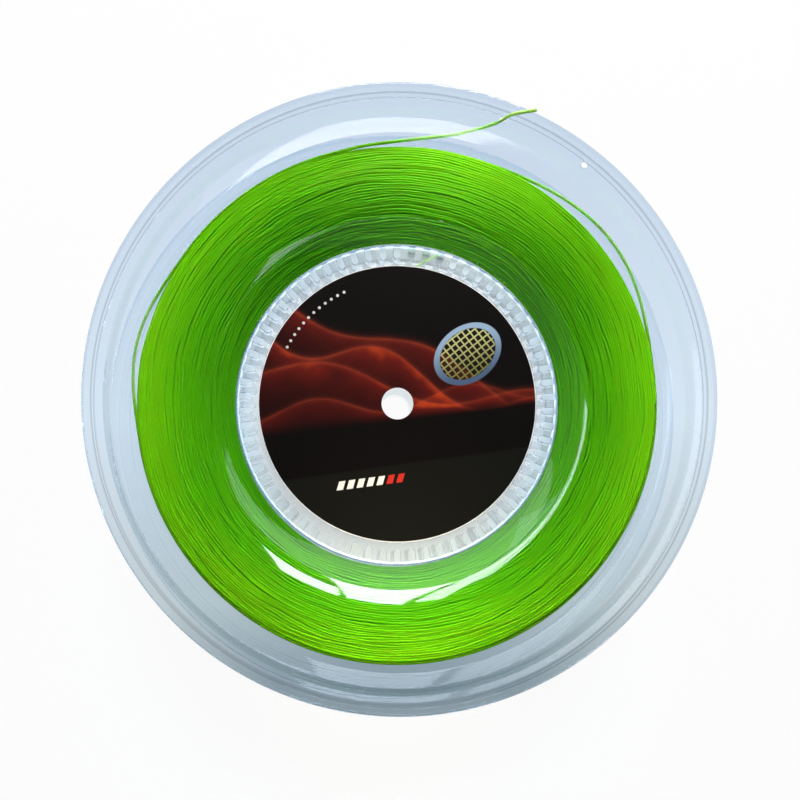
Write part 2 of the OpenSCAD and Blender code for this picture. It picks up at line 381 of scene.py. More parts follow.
def clear_plastic(name, tint, steep, haze, ring_haze=0.0, crease_r=0.0, painted_pocket_shade=None):
    """Polished clear plastic with moulding ripples, bluer where it is seen on edge.

    haze is its milkiness and ring_haze that of the hub ring; crease_r is where painted shade
    draws a dark line at a sharp crease, and pocket is a painted shade tone for the pocket walls."""
    s = Shader(name)
    radius = s.plane_place()[2]
    facing = s.add("ShaderNodeLayerWeight", {"Blend": 0.5}).outputs["Facing"]
    colour = s.mix_colour(s.step(facing, *EDGE_ON_FADE), tint, steep)
    # Painted shade: a thin dark line along crease_r, where the sharp crease at the lip's inner edge
    # looks dark
    off_crease = s.size(s.minus(radius, crease_r / MM))
    colour = s.mix_colour(s.step(off_crease, *CREASE_FADE), colour, PAINTED_CREASE_SHADE)

    # The hub ring is milky, without gloss on its upright walls; a pocket tone keeps those clear
    ring = s.step(radius, *RING_FADE)
    upright = s.step(s.size(s.split(s.object_normal)[2]), *UPRIGHT_FADE)
    pocket_wall = s.times(ring, upright)
    milky_ring = ring
    if painted_pocket_shade:
        milky_ring = s.minus(ring, pocket_wall)
        # Painted shade: the pocket tone darkens the pocket walls, outlining the front flange's
        # pockets in dark
        colour = s.mix_colour(ring, colour, RING_TINT)
        colour = s.mix_colour(pocket_wall, colour, painted_pocket_shade)
    gloss = s.minus(1.0, s.times(s.step(radius, *GLOSS_FADE), GLOSS_LOST))
    gloss = s.times(gloss, s.minus(1.0, pocket_wall))
    ripple = s.noise(28)
    scuffs = s.noise(160, 4, 0.7)
    s.set(Base_Color=colour, Transmission_Weight=1.0, IOR=1.04,
          Roughness=s.grey_ramp(scuffs, (0.35, 0.01), (0.8, 0.05)),
          Normal=s.bump(ripple, 0.04, 1 * MM),
          Coat_Weight=gloss, Coat_IOR=1.5, Coat_Roughness=0.02)

    # Milk scatters light; shadow rays pass through the pane, so the string is lit under it
    through = s.add("ShaderNodeBsdfTranslucent", {"Color": MILK_TINT})
    scatter = s.add("ShaderNodeBsdfDiffuse", {"Color": MILK_TINT})
    milk = s.mix_shader(SCATTERED, through, scatter)
    milk_share = s.plus(haze, s.times(ring_haze, milky_ring))
    body = s.mix_shader(milk_share, s.principled, milk)
    pane = s.add("ShaderNodeBsdfTransparent", {"Color": SHADOW_TINT})
    shadow_ray = s.add("ShaderNodeLightPath").outputs["Is Shadow Ray"]
    s.show("Material Output", s.mix_shader(shadow_ray, body, pane))
    return s.material


# ---------------------------------------------------------------- nylon
OFF_WINDING = (WOUND_MM + 0.2, WOUND_MM + 1.8)
INSIDE_DRUM = (DRUM_MM - 1, DRUM_MM - 2)
TURN_SPREAD = 10
PATCH_SPREAD = 16
# Greens of the wound string, with painted shade that darkens it towards the drum, deep in the
# winding
SHADED_GREEN_AT_DRUM = (0.06, 0.29, 0.002)
HALF_SHADED_GREEN = (0.10, 0.41, 0.002)
BRIGHT_GREEN = (0.22, 0.59, 0.003)
# The loose string's own green, painted paler to stand in for light through it and glare over it
PALE_GREEN_PAINTED_LIGHT = (0.48, 0.79, 0.20)
START_GREEN = (0.26, 0.60, 0.02)


def string_nylon(name, loose, clear=0.0):
    """Semi-gloss nylon with painted shade, darker towards the drum; loose is its tone off the
    winding.

    clear is how much light passes through the strand."""
    s = Shader(name)
    radius = s.plane_place()[2]
    turn_to_turn = s.noise(0.42, place=s.vector(radius))
    patches = s.noise(22, 3, 0.55)
    grain = s.noise(900)
    spread = s.plus(s.times(s.minus(turn_to_turn, 0.5), TURN_SPREAD),
                    s.times(s.minus(patches, 0.5), PATCH_SPREAD))
    depth = s.minus(s.plus(radius, spread), DRUM_MM)
    # Painted shade: the turns are coloured darker the nearer they lie to the drum
    colour = s.ramp(s.ratio(depth, (LAYER_R - DRUM_R) / MM),
                    (0.0, SHADED_GREEN_AT_DRUM), (0.5, HALF_SHADED_GREEN), (0.97, BRIGHT_GREEN))
    alone = s.plus(s.step(radius, *OFF_WINDING), s.step(radius, *INSIDE_DRUM))
    s.set(Base_Color=s.mix_colour(alone, colour, loose),
          Roughness=s.grey_ramp(patches, (0.3, 0.32), (0.7, 0.46)),
          Specular_IOR_Level=0.06, Specular_Tint=(0.5, 1.0, 0.03),
          Subsurface_Weight=0.6, Subsurface_Radius=(0.5, 1.0, 0.1),
          Subsurface_Scale=1.5 * MM, Transmission_Weight=clear,
          Normal=s.bump(grain, 0.08, 0.05 * MM))
    return s.material


# ---------------------------------------------------------------- label print, in millimetres
# Veils: height of the upper edge on the axis, its slope, wave height, wave length and phase,
# how far the veil reaches down, and its glow
VEILS = ((25, -0.42, 5.5, 88, 0.6, 10, 0.9),
         (15, -0.30, 7.5, 74, 2.1, 8, 1.0),
         (8, -0.12, 6.0, 96, 3.6, 7, 0.8),
         (1, 0.10, 4.5, 66, 5.0, 6, 0.55))
VEIL_EDGE = 0.7
VEIL_FOOT = (-8, 0.13)
SHEEN_TOP = (-27, 0.14)
PRINT_BLACK = (0.004, 0.003, 0.003)
SHEEN_BLACK = (0.0070, 0.0072, 0.0058)
VEIL_RED = (0.13, 0.010, 0.007)
VEIL_ORANGE = (0.46, 0.045, 0.010)
EDGE_RED = (0.42, 0.06, 0.025)

OVAL_AT = (31, 22)
OVAL_TILT = math.radians(38)
OVAL_HALF = (16.5, 12.5)
HOOP_INSIDE = 0.8
LATTICE_STEP = 2.7
OVAL_BACKING = (0.01, 0.008, 0.008)
GOLD = ((0.20, 0.20, 0.05), (0.62, 0.62, 0.26))
STEEL = ((0.08, 0.13, 0.22), (0.34, 0.48, 0.66))

DOT_ARC_R = 54.5
DOT_STEP = math.radians(3.4)
DOT_SPACING = 3.3
FIRST_DOT, LAST_DOT = -19, -7
DOT_WHITE = (0.75, 0.74, 0.72)
BARS_LEFT, BARS_LOW = 26, 33
BAR_STEP = 4.2
BAR_SLANT = 0.28
BAR_ROW_RISE = 0.13
BAR_COUNT, WHITE_BARS = 7, 5
BAR_WHITE = (0.80, 0.79, 0.77)
BAR_RED = (0.55, 0.03, 0.02)
PAPER_EDGE = (LABEL_MM - 0.45, LABEL_MM - 0.25)
PAPER_WHITE = (0.80, 0.81, 0.82)


def wave(s, x, y, offset, slope, height=0, length=50, phase=0):
    """How far a point of the label lies over a slanting wavy line."""
    swing = s.math("SINE", s.plus(s.times(x, 2 * math.pi / length), phase))
    return s.minus(y, s.plus(s.times(x, slope), s.times(swing, height), offset))


def fade(s, distance, reach):
    """1 on a line, and less with the distance from it."""
    return s.math("EXPONENT", s.ratio(s.size(distance), -reach))


def off_middle(s, value):
    """How far a value lies from the middle between two whole numbers."""
    return s.minus(s.math("FRACT", value), 0.5)


def print_veils(s, x, y):
    """Red veils with bright upper edges on black, over a dark sheen at the bottom."""
    shimmer = s.noise(45)
    fire = s.noise(30, 3, 0.6)
    veils, edges = [], []
    for offset, slope, height, length, phase, reach, glow in VEILS:
        distance = wave(s, x, y, offset, slope, height, length, phase)
        below = s.step(distance, 0.5, -0.5)
        veils.append(s.times(below, fade(s, distance, reach), glow))
        edges.append(s.times(fade(s, distance, VEIL_EDGE), glow, shimmer))
    kept = s.step(wave(s, x, y, *VEIL_FOOT), -0.5, 6)
    veil = s.times(s.plus(*veils), kept, s.times(fire, 2))
    edge = s.times(s.plus(*edges), kept)
    hot = s.step(s.times(veil, fire), 0.42, 0.9)
    sheen = s.step(wave(s, x, y, *SHEEN_TOP), 0.3, -0.3)
    colour = s.mix_colour(s.least(veil, 1.0), PRINT_BLACK, VEIL_RED)
    colour = s.mix_colour(hot, colour, VEIL_ORANGE)
    colour = s.mix_colour(s.least(edge, 1.0), colour, EDGE_RED)
    return s.mix_colour(sheen, colour, SHEEN_BLACK)


def print_oval(s, x, y, colour):
    """Strung oval: a blue-grey hoop and a pale gold lattice."""
    away_x = s.minus(x, OVAL_AT[0])
    away_y = s.minus(y, OVAL_AT[1])
    cosine, sine = math.cos(OVAL_TILT), math.sin(OVAL_TILT)
    along = s.plus(s.times(away_x, cosine), s.times(away_y, sine))
    over = s.minus(s.times(away_y, cosine), s.times(away_x, sine))
    oval = s.length(s.ratio(along, OVAL_HALF[0]), s.ratio(over, OVAL_HALF[1]))

    def lattice(value):
        return s.step(s.size(off_middle(s, s.ratio(value, LATTICE_STEP))), 0.16, 0.08)

    strings = s.times(s.most(lattice(along), lattice(over)),
                      s.step(oval, HOOP_INSIDE + 0.02, HOOP_INSIDE - 0.01))
    hoop = s.times(s.step(oval, 1.0, 0.97), s.step(oval, HOOP_INSIDE, HOOP_INSIDE + 0.03))
    backing = s.times(s.step(oval, HOOP_INSIDE + 0.03, HOOP_INSIDE), 0.55)
    light = s.step(s.plus(over, s.times(along, 0.4)), -12, 12)
    colour = s.mix_colour(backing, colour, OVAL_BACKING)
    colour = s.mix_colour(strings, colour, s.mix_colour(light, *GOLD))
    return s.mix_colour(hoop, colour, s.mix_colour(light, *STEEL))


def print_dots(s, x, y, radius, colour):
    """Dotted arc near the edge."""
    count = s.ratio(s.math("ARCTAN2", x, y), DOT_STEP)
    dot = s.length(s.times(off_middle(s, count), DOT_SPACING), s.minus(radius, DOT_ARC_R))
    on_arc = s.times(s.step(count, FIRST_DOT - 0.01, FIRST_DOT),
                     s.step(count, LAST_DOT + 0.01, LAST_DOT))
    return s.mix_colour(s.times(s.step(dot, 0.75, 0.55), on_arc), colour, DOT_WHITE)


def print_bars(s, x, y, colour):
    """Row of slanted bars, white and then red."""
    slant = s.minus(s.plus(x, BARS_LEFT), s.times(s.plus(y, BARS_LOW), BAR_SLANT))
    bar = s.ratio(slant, BAR_STEP)
    across = s.size(off_middle(s, bar))
    up = s.size(s.plus(s.minus(y, s.times(x, BAR_ROW_RISE)), BARS_LOW))
    in_row = s.times(s.step(bar, -0.01, 0.0), s.step(bar, BAR_COUNT + 0.01, BAR_COUNT))
    bars = s.times(s.step(across, 0.34, 0.30), s.step(up, 2.0, 1.8), in_row)
    tone = s.mix_colour(s.step(bar, WHITE_BARS - 0.01, WHITE_BARS), BAR_WHITE, BAR_RED)
    return s.mix_colour(bars, colour, tone)


def label_print(name):
    """Coated paper with its print, and bare paper at the edge."""
    s = Shader(name)
    x, y, radius = s.plane_place()
    colour = print_veils(s, x, y)
    colour = print_oval(s, x, y, colour)
    colour = print_dots(s, x, y, radius, colour)
    colour = print_bars(s, x, y, colour)
    colour = s.mix_colour(s.step(radius, *PAPER_EDGE), colour, PAPER_WHITE)
    paper = s.noise(220, 3)
    s.set(Base_Color=colour, Roughness=s.grey_ramp(paper, (0.3, 0.5), (0.7, 0.6)),
          Specular_IOR_Level=0.05, Normal=s.bump(paper, 0.05, 0.05 * MM))
    return s.material


# ---------------------------------------------------------------- turned pieces
ROUND_STEPS = 3
LARGE_ROUND = 1 * MM
ROUND_SHARE = 0.42
ROUND_GUARD = 1.15
STRAIGHT = math.radians(5)


def arc(centre, r, a0, a1, steps):
    """Points on an arc in the profile plane, angles in degrees."""
    turns = [math.radians(a0 + (a1 - a0) * i / steps) for i in range(steps + 1)]
    return [(centre[0] + r * math.cos(t), centre[1] + r * math.sin(t)) for t in turns]


def rounded(outline, round_r):
    """Closed outline with each corner rounded by round_r, or by the corner's own third number.

    A point just outside each rounding keeps the shading of the straight parts flat."""
    points = []
    count = len(outline)
    for i, corner in enumerate(outline):
        here = Vector(corner[:2])
        before = Vector(outline[i - 1][:2]) - here
        after = Vector(outline[(i + 1) % count][:2]) - here
        bend = math.pi - before.angle(after)
        if bend < STRAIGHT:
            points.append(tuple(here))
            continue
        own_r = corner[2] if len(corner) > 2 else round_r
        reach = min(own_r * math.tan(bend / 2),
                    ROUND_SHARE * before.length, ROUND_SHARE * after.length)
        start = here + before.normalized() * reach
        end = here + after.normalized() * reach
        points.append(tuple(here + before.normalized() * reach * ROUND_GUARD))
        steps = ROUND_STEPS * 3 if own_r > LARGE_ROUND else ROUND_STEPS
        for k in range(steps + 1):
            t = k / steps
            points.append(tuple(start * (1 - t) ** 2 + here * 2 * t * (1 - t) + end * t ** 2))
        points.append(tuple(here + after.normalized() * reach * ROUND_GUARD))
    return points


def turned(name, outline, steps=360):
    """Solid of revolution round the reel's axis, from a closed outline of (radius, height)."""
    mesh = bpy.data.meshes.new(name)
    count = len(outline)
    verts = [at(360 * i / steps, r, z) for i in range(steps) for r, z in outline]
    faces = []
    for i in range(steps):
        j = (i + 1) % steps
        for k in range(count):
            n = (k + 1) % count
            faces.append((i * count + k, i * count + n, j * count + n, j * count + k))
    mesh.from_pydata(verts, [], faces)
    face_out(mesh)
    mesh.shade_smooth()
    return add_object(name, mesh)


def face_out(mesh):
    """Welds doubles and turns all faces outwards."""
    bm = bmesh.new()
    bm.from_mesh(mesh)
    bmesh.ops.remove_doubles(bm, verts=bm.verts, dist=1e-7)
    bmesh.ops.recalc_face_normals(bm, faces=bm.faces)
    bm.to_mesh(mesh)
    bm.free()


def raise_to_middle(piece):
    """Moves a mesh drawn round the origin up to the reel's middle plane."""
    piece.data.transform(Matrix.Translation((0, 0, MID_Z)))


def smooth_by_angle(mesh):
    """Smooth faces, with edges sharper than CRISP_ANGLE kept crisp."""
    mesh.shade_smooth()
    bm = bmesh.new()
    bm.from_mesh(mesh)
    limit = math.radians(CRISP_ANGLE)
    for edge in bm.edges:
        edge.smooth = len(edge.link_faces) != 2 or edge.calc_face_angle(0) < limit
    bm.to_mesh(mesh)
    bm.free()


def prism(bm, outline, low, high):
    """Adds a closed prism over a flat outline of (x, y) points."""
    bottom = [bm.verts.new((x, y, low)) for x, y in outline]
    top = [bm.verts.new((x, y, high)) for x, y in outline]
    bm.faces.new(bottom[::-1])
    bm.faces.new(top)
    count = len(outline)
    for i in range(count):
        j = (i + 1) % count
        bm.faces.new((bottom[i], bottom[j], top[j], top[i]))


def prisms(name, outlines, low, high):
    """One object with a prism over each outline."""
    bm = bmesh.new()
    for outline in outlines:
        prism(bm, outline, low, high)
    mesh = mesh_from(name, bm)
    face_out(mesh)
    return add_object(name, mesh)


def combine(piece, tools, operation):
    """Applies a boolean with each tool and removes the tools."""
    for tool in tools:
        modifier = piece.modifiers.new("cut", "BOOLEAN")
        modifier.operation = operation
        modifier.solver = "EXACT"
        modifier.object = tool
    shaped = piece.evaluated_get(bpy.context.evaluated_depsgraph_get())
    result = bpy.data.meshes.new_from_object(shaped)
    result.name = piece.name
    piece.modifiers.clear()
    piece.data = result
    for tool in tools:
        bpy.data.objects.remove(tool)


# ---------------------------------------------------------------- flanges
def flange_outline():
    """The front flange's section: radius, height over the middle plane and any rounding."""
    web = [(r * MM, ROOT_Z + z * MM) for r, z in WEB_SWEEP]
    bore = BUSH_R + BUSH_GAP
    face = [(bore, SEAT_Z), (SEAT_R, SEAT_Z), (SEAT_R, RING_Z), (DRUM_R, RING_Z),
            *web, (COVE_R, COVE_Z),
            (RISER_FOOT_R, RISER_FOOT_Z), (RISER_TOP_R, RISER_TOP_Z),
            (LIP_IN_R, BAND_Z), (LIP_IN_R + LIP_SLOPE, MID_Z), (REEL_R, MID_Z, LIP_ROUND)]
    back = [(REEL_R, LIP_BACK_Z, LIP_ROUND), (LIP_IN_R, LIP_BACK_Z),
            (LIP_IN_R - LIP_FOOT, BAND_Z - WALL),
            (RISER_TOP_R + RISER_BACK, RISER_TOP_Z - WALL),
            (RISER_FOOT_R + RISER_BACK, RISER_FOOT_Z - WALL),
            (COVE_R, COVE_Z - WALL), *[(r, z - WALL) for r, z in reversed(web)],
            (DRUM_R, RING_BACK_Z), (POCKET_IN_R - RING_FOOT, RING_BACK_Z),
            (POCKET_IN_R - 2 * RING_FOOT, FLOOR_BACK_Z)]
    return [(bore, FLOOR_BACK_Z)] + face + back


def slot_outline(in_r, out_r, width):
    """One slot along +Y: flat at its outer end, round at its inner end."""
    half = width / 2
    inner = arc((0, in_r + half), half, 180, 360, 10)
    return [(half, out_r), (-half, out_r)] + inner


def ring_of_slots(name, in_r, out_r, width, low, high, left_out=NO_GAP):
    """The slots of one hub ring, as prisms; left_out is a range of angles without any."""
    outlines = []
    for i in range(POCKET_COUNT):
        angle = 360 * i / POCKET_COUNT
        if left_out[0] <= angle <= left_out[1]:
            continue
        turn = Matrix.Rotation(math.radians(-angle), 2)
        outlines.append([tuple(turn @ Vector(p)) for p in slot_outline(in_r, out_r, width)])
    return prisms(name, outlines, low, high)


def string_holes():
    """Cutters for the holes in the band that clip the string's loose end."""
    outlines = []
    for angle in STRING_HOLE_ANGLES:
        centre = at(angle, STRING_HOLE_AT, 0)
        outlines.append([(centre.x + x, centre.y + y)
                         for x, y in arc((0, 0), STRING_HOLE_R, 0, 345, 23)])
    return prisms("string_holes", outlines, RISER_FOOT_Z, MID_Z + CUT_PAST)


def make_flange(name, front):
    """One flange; the rear one is the front one's mirror image."""
    piece = turned(name, rounded(flange_outline(), FLANGE_EDGE))
    pockets = ring_of_slots("pockets", POCKET_IN_R, POCKET_OUT_R, POCKET_W,
                            RING_BACK_Z - CUT_PAST, RING_Z + CUT_PAST)
    combine(piece, [pockets, string_holes()], "DIFFERENCE")
    if not front:
        piece.data.transform(Matrix.Diagonal((1, 1, -1, 1)))
        piece.data.flip_normals()
    raise_to_middle(piece)
    smooth_by_angle(piece.data)
    return piece


# ---------------------------------------------------------------- drum, bush and label
def make_drum():
    """Tube with a row of tongues at each end, for the pockets of the two flanges.

    START_GAP has none in front, where the string's inner end passes."""
    piece = turned("drum", [(POCKET_OUT_R, -RING_BACK_Z), (POCKET_OUT_R, RING_BACK_Z),
                            (DRUM_R, RING_BACK_Z), (DRUM_R, -RING_BACK_Z)])
    in_r = POCKET_IN_R + TONGUE_GAP
    width = POCKET_W - 2 * TONGUE_GAP
    root = (POCKET_OUT_R + TONGUE_INTO_WALL, RING_BACK_Z - TONGUE_ROOT, RING_BACK_Z)
    tip = (POCKET_OUT_R - TONGUE_GAP, RING_BACK_Z - TONGUE_LAP, RING_BACK_Z + TONGUE_REACH)
    tools = []
    for side, left_out in ((1, START_GAP), (-1, NO_GAP)):
        for out_r, low, high in (root, tip):
            low, high = sorted((side * low, side * high))
            tools.append(ring_of_slots("tongues", in_r, out_r, width, low, high, left_out))
    combine(piece, tools, "UNION")
    raise_to_middle(piece)
    combine(piece, [start_drill()], "DIFFERENCE")
    smooth_by_angle(piece.data)
    return piece


def start_drill():
    """Cutter for the slanted hole that the string's inner end passes."""
    points = in_metres(START_ROUTE)
    start, way = points[0], points[2] - points[0]
    aim = way.to_track_quat("Z", "Y").to_matrix().to_4x4()
    bm = bmesh.new()
    bmesh.ops.create_cone(bm, cap_ends=True, segments=32,
                          radius1=START_HOLE_R, radius2=START_HOLE_R,
                          depth=way.length + START_DRILL_PAST,
                          matrix=Matrix.Translation(start + way / 2) @ aim)
    return add_object("start_drill", mesh_from("start_drill", bm))


def make_bush():
    """Tube through both floors, with a collar between them."""
    collar_z = FLOOR_BACK_Z - BUSH_GAP
    half = [(BORE_R, SEAT_Z), (BUSH_R, SEAT_Z), (BUSH_R, collar_z),
            (BUSH_R + BUSH_COLLAR, collar_z)]
    outline = half + [(r, -z) for r, z in reversed(half)]
    piece = turned("bush", rounded(outline, BUSH_EDGE), 128)
    raise_to_middle(piece)
    return piece


def make_label():
    """Paper disc with a hole, in the front flange's seat."""
    outline = [(BORE_R, LABEL_LOW.z), (LABEL_R, LABEL_LOW.z),
               (LABEL_R, LABEL_HIGH.z), (BORE_R, LABEL_HIGH.z)]
    piece = turned("label", rounded(outline, LABEL_EDGE), 256)
    smooth_by_angle(piece.data)
    return piece


# ---------------------------------------------------------------- single strands
def cord_curve(name, route):
    """A round string along a route given in metres."""
    data = bpy.data.curves.new(name, "CURVE")
    data.dimensions = "3D"
    data.bevel_depth = STRING_R
    data.bevel_resolution = 3
    data.use_fill_caps = True
    line = data.splines.new("POLY")
    line.points.add(len(route) - 1)
    for point, place in zip(line.points, route):
        point.co = (*place, 1)
    return add_object(name, data)


def smooth_route(points, steps=4):
    """A Catmull-Rom line through the points."""
    line = []
    ends = [points[0] * 2 - points[1], *points, points[-1] * 2 - points[-2]]
    for i in range(len(points) - 1):
        a, b, c, d = ends[i:i + 4]
        for k in range(steps):
            t = k / steps
            line.append(0.5 * (2 * b + (c - a) * t + (2 * a - 5 * b + 4 * c - d) * t ** 2
                               + (3 * b - a - 3 * c + d) * t ** 3))
    line.append(points[-1])
    return line


def route_length(route):
    return sum((b - a).length for a, b in zip(route, route[1:]))


def layer_at(angle, lift=0):
    """Point on the line of the outer layer and the slack turn; the angle counts every turn."""
    z = LAYER_LOW_Z + TURN_PITCH * (angle - LAYER_FIRST) / 360
    return at(angle, LAYER_R + lift, z)


def layer_way(angle):
    """Direction of the outer layer's line."""
    return (layer_at(angle + 1) - layer_at(angle - 1)).normalized()


def arc_lift(angle, low, high, rise, skew):
    """How far an arc of slack stands off the winding at an angle."""
    if not low < angle < high:
        return 0.0
    return rise * math.sin(math.pi * ((angle - low) / (high - low)) ** skew) ** 2


# ---------------------------------------------------------------- wound string, by geometry nodes
NOISE_GAIN = 3.2
EDGE_HOLD = 9.0
TURN_SIDES = 6

# Patterns of the wander: scale round the reel, scale across the turns, step of the seed
SWAY_PATTERN = (4.2, 180, 0.0)
STRAY_PATTERN = (2.6, 1400, 11.3)
LIFT_PATTERN = (3.1, 1100, 23.9)

# Layers that show through the webs: name, side (1 at the label, -1 at the rear), depth under
# the face, seed and number of turns
FACE_LAYERS = (("front_turns", 1, 0, 1.7, 41.0),
               ("front_turns_under", 1, 0.9 * MM, 5.2, 36.0),
               ("rear_turns", -1, 0, 9.4, 40.0),
               ("rear_turns_under", -1, 0.9 * MM, 12.8, 36.0))
FACE_POINTS = 220
LAYER_POINTS = 240
LAYER_TURNS = 16.0
LAYER_SEED = 3.3


class Geometry(Nodes):
    """A geometry node tree with named inputs."""

    def __init__(self, name, inputs):
        super().__init__(bpy.data.node_groups.new(name, "GeometryNodeTree"))
        face = self.tree.interface
        face.new_socket("Geometry", in_out="INPUT", socket_type="NodeSocketGeometry")
        face.new_socket("Geometry", in_out="OUTPUT", socket_type="NodeSocketGeometry")
        self.keys = {}
        for label, kind in inputs.items():
            socket = face.new_socket(label, in_out="INPUT", socket_type=kind)
            self.keys[label] = socket.identifier
        self.given = self.tree.nodes.new("NodeGroupInput").outputs
        self.result = self.tree.nodes.new("NodeGroupOutput").inputs

    def noise(self, place, seed):
        """Smooth noise, from about -1 to 1."""
        inputs = {"Vector": place, "W": seed, "Scale": 1.0, "Detail": 1.5}
        node = self.add("ShaderNodeTexNoise", inputs, noise_dimensions="4D")
        return self.times(self.minus(node.outputs["Fac"], 0.5), NOISE_GAIN)

    def apply(self, name, values, material):
        """Runs the tree on an empty mesh and returns the result as a plain mesh piece."""
        piece = add_object(name, bpy.data.meshes.new(name))
        modifier = piece.modifiers.new("turns", "NODES")
        modifier.node_group = self.tree
        for label, value in values.items():
            modifier[self.keys[label]] = value
        modifier[self.keys["Material"]] = material
        shaped = piece.evaluated_get(bpy.context.evaluated_depsgraph_get())
        mesh = bpy.data.meshes.new_from_object(shaped)
        piece.modifiers.clear()
        piece.data = mesh
        mesh.name = name
        return piece


def turns_tree():
    """Turns of string as one unbroken spiral that wanders in radius and height.

    The face is crowned: highest at the crown radius, and lower by the two drops at its edges."""
    number = "NodeSocketFloat"
    g = Geometry("wound_turns", {
        "Turns": number, "Points": "NodeSocketInt", "Inner Radius": number,
        "Outer Radius": number, "Crown Radius": number, "Crown Height": number,
        "Inner Drop": number, "Outer Drop": number, "Hold Inner": number,
        "Hold Outer": number, "Climb": number, "String Radius": number, "Sway": number,
        "Stray": number, "Lift": number, "Seed": number, "Material": "NodeSocketMaterial"})
    given = g.given
    spiral = g.add("GeometryNodeCurveSpiral", {
        "Resolution": given["Points"], "Rotations": given["Turns"],
        "Start Radius": given["Inner Radius"], "End Radius": given["Outer Radius"],
        "Height": given["Climb"]})
    x, y, z = g.split(g.add("GeometryNodeInputPosition").outputs[0])
    radius = g.length(x, y)
    cosine = g.ratio(x, radius)
    sine = g.ratio(y, radius)
    depth = g.plus(radius, z)

    def wander(round_scale, cross_scale, seed_step):
        """Noise that changes slowly round the reel and quickly from turn to turn."""
        key = g.vector(g.times(cosine, round_scale), g.times(sine, round_scale),
                       g.times(depth, cross_scale))
        return g.noise(key, g.plus(given["Seed"], seed_step))

    # Radius: the turns sway and stray, but less near the first and the last one
    sway = g.times(wander(*SWAY_PATTERN), given["Sway"])
    stray = g.times(wander(*STRAY_PATTERN), given["Stray"])
    span = g.add("ShaderNodeMapRange", {"Value": radius, "From Min": given["Hold Inner"],
                                        "From Max": given["Hold Outer"]}, clamp=True).outputs[0]
    free = g.least(g.times(g.least(span, g.minus(1.0, span)), EDGE_HOLD), 1.0)
    moved = g.plus(radius, g.times(g.plus(sway, stray), free))

    # Height: the crowned face, and a little lift
    past = g.minus(moved, given["Crown Radius"])
    inward = g.ratio(g.least(past, 0.0), g.minus(given["Crown Radius"], given["Inner Radius"]))
    outward = g.ratio(g.most(past, 0.0), g.minus(given["Outer Radius"], given["Crown Radius"]))
    drop = g.plus(g.times(inward, inward, given["Inner Drop"]),
                  g.times(outward, outward, given["Outer Drop"]))
    lift = g.times(wander(*LIFT_PATTERN), given["Lift"])
    height = g.plus(z, g.minus(given["Crown Height"], drop), lift)

    place = g.vector(g.times(cosine, moved), g.times(sine, moved), height)
    line = g.add("GeometryNodeSetPosition", {"Geometry": spiral.outputs[0], "Position": place})
    circle = g.add("GeometryNodeCurvePrimitiveCircle",
                   {"Resolution": TURN_SIDES, "Radius": given["String Radius"]})
    tube = g.add("GeometryNodeCurveToMesh", {
        "Curve": line.outputs[0], "Profile Curve": circle.outputs[0], "Fill Caps": True})
    smooth = g.add("GeometryNodeSetShadeSmooth", {"Geometry": tube.outputs[0]})
    real = g.add("GeometryNodeRealizeInstances", {0: smooth.outputs[0]})
    painted = g.add("GeometryNodeSetMaterial",
                    {"Geometry": real.outputs[0], "Material": given["Material"]})
    g.feed(g.result[0], painted.outputs[0])
    return g


def face_of_turns(tree, material, name, side, sunk, seed, count):
    """One layer of turns that shows through a web."""
    return tree.apply(name, {
        "Turns": count, "Points": FACE_POINTS,
        "Inner Radius": FACE_IN_R, "Outer Radius": FACE_OUT_R,
        "Crown Radius": CROWN_R, "Crown Height": MID_Z + side * (CROWN_Z - sunk),
        "Inner Drop": side * INNER_DROP, "Outer Drop": side * OUTER_DROP,
        "Hold Inner": FACE_IN_R, "Hold Outer": FACE_OUT_R, "Climb": 0.0,
        "String Radius": STRING_R, "Sway": 1.1 * MM, "Stray": 0.45 * MM, "Lift": 0.3 * MM,
        "Seed": seed}, material)


def layer_of_turns(tree, material, name):
    """The outer layer: turns side by side, which climb across the reel."""
    return tree.apply(name, {
        "Turns": LAYER_TURNS, "Points": LAYER_POINTS, "Inner Radius": LAYER_R - 0.01 * MM,
        "Outer Radius": LAYER_R, "Crown Radius": 0.0, "Crown Height": LAYER_LOW_Z,
        "Inner Drop": 0.0, "Outer Drop": 0.0, "Hold Inner": 0.0, "Hold Outer": 2 * LAYER_R,
        "Climb": TURN_PITCH * OUTER_TURNS, "String Radius": STRING_R,
        "Sway": 0.35 * MM, "Stray": 0.25 * MM, "Lift": 0.3 * MM, "Seed": LAYER_SEED}, material)


def crown(r):
    """Height of the wound face over the middle plane."""
    if r < CROWN_R:
        return CROWN_Z - INNER_DROP * ((CROWN_R - r) / (CROWN_R - FACE_IN_R)) ** 2
    return CROWN_Z - OUTER_DROP * ((r - CROWN_R) / (FACE_OUT_R - CROWN_R)) ** 2


def winding_core(name, material, steps=12):
    """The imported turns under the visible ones."""
    low_r = FACE_IN_R - STRING_R
    width = LAYER_R - STRING_D - FACE_IN_R + STRING_R
    radii = [low_r + width * i / steps for i in range(steps + 1)]
    face = [(r, crown(r) - CORE_SUNK) for r in radii]
    piece = turned(name, face + [(r, -z) for r, z in reversed(face)], 180)
    raise_to_middle(piece)
    paint(piece, material)
    return piece


# ---------------------------------------------------------------- floor and room
FLOOR_HALF = 3
FLOOR_TINT = (0.78, 0.80, 0.82)
FLOOR_SEEN = 0.94
FLOOR_THROUGH = 0.85
BORE_VIEW = (24, 16)
WHITE = (1, 1, 1)
ROOM_LIGHT = 0.35
# Tones as (share of the way, tone): over the floor from -FLOOR_REACH to FLOOR_REACH in y, in
# millimetres, painted light and shadow that the plastic shows; and up the room from the horizon
FLOOR_REACH = 150
